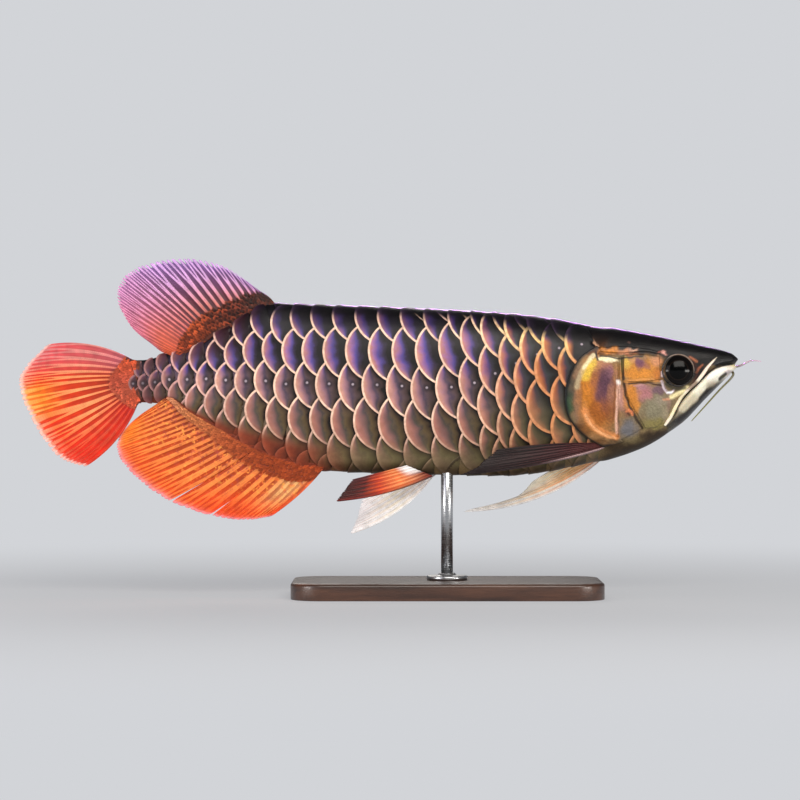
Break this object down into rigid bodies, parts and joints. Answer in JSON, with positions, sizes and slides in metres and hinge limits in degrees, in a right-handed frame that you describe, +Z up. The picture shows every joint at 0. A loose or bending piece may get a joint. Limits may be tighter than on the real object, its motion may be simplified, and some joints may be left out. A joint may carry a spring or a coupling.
{
  "type": "fish",
  "caption": "Life-size Asian arowana swimming level with folded fins, held on one rod above a flat display base.",
  "frame": {"origin": "middle of the stand base's underside, below the rod", "axes": "+X from tail to snout, +Z up, so the fish's right side faces -Y"},
  "size_m": [0.6236, 0.124, 0.2836],
  "materials": {
    "scaled_skin": "wet fish skin and large scales: mauve-brown with a slate-violet core and a pink-gold rim",
    "gill_plate": "wet gill cover: golden orange bone under thin skin, purple patch, grey-green soft edge",
    "jaw_skin": "wet cream-white skin over the jaw bones",
    "red_fin": "thin fin, orange to red, with fine branched rays",
    "lilac_fin": "thin fin, pale lilac-pink rays with dark purple web between",
    "dark_fin": "thin fin, dark brown to red with a pale leading ray",
    "pale_fin": "thin fin, cream-white with a faint orange middle",
    "eye": "clear wet eye, near black with a thin bright ring",
    "stained_wood": "dark stained wood, satin varnish",
    "satin_steel": "brushed steel"
  },
  "bodies": {
    "root": {"head": "scaled_skin", "trunk": "scaled_skin", "tail": "scaled_skin", "gill_cover_left": "gill_plate", "gill_cover_right": "gill_plate", "lower_jaw": "jaw_skin", "upper_jaw_left": "jaw_skin", "upper_jaw_right": "jaw_skin", "barbel_left": "jaw_skin", "barbel_right": "jaw_skin", "anal_fin": "red_fin", "caudal_fin": "red_fin", "dorsal_fin": "lilac_fin", "pectoral_fin_right": "dark_fin", "pelvic_fin_right": "dark_fin", "pectoral_fin_left": "pale_fin", "pelvic_fin_left": "pale_fin", "eye_left": "eye", "eye_right": "eye", "stand_base": "stained_wood", "stand_collar": "satin_steel", "stand_rod": "satin_steel"}
  },
  "joints": []
}
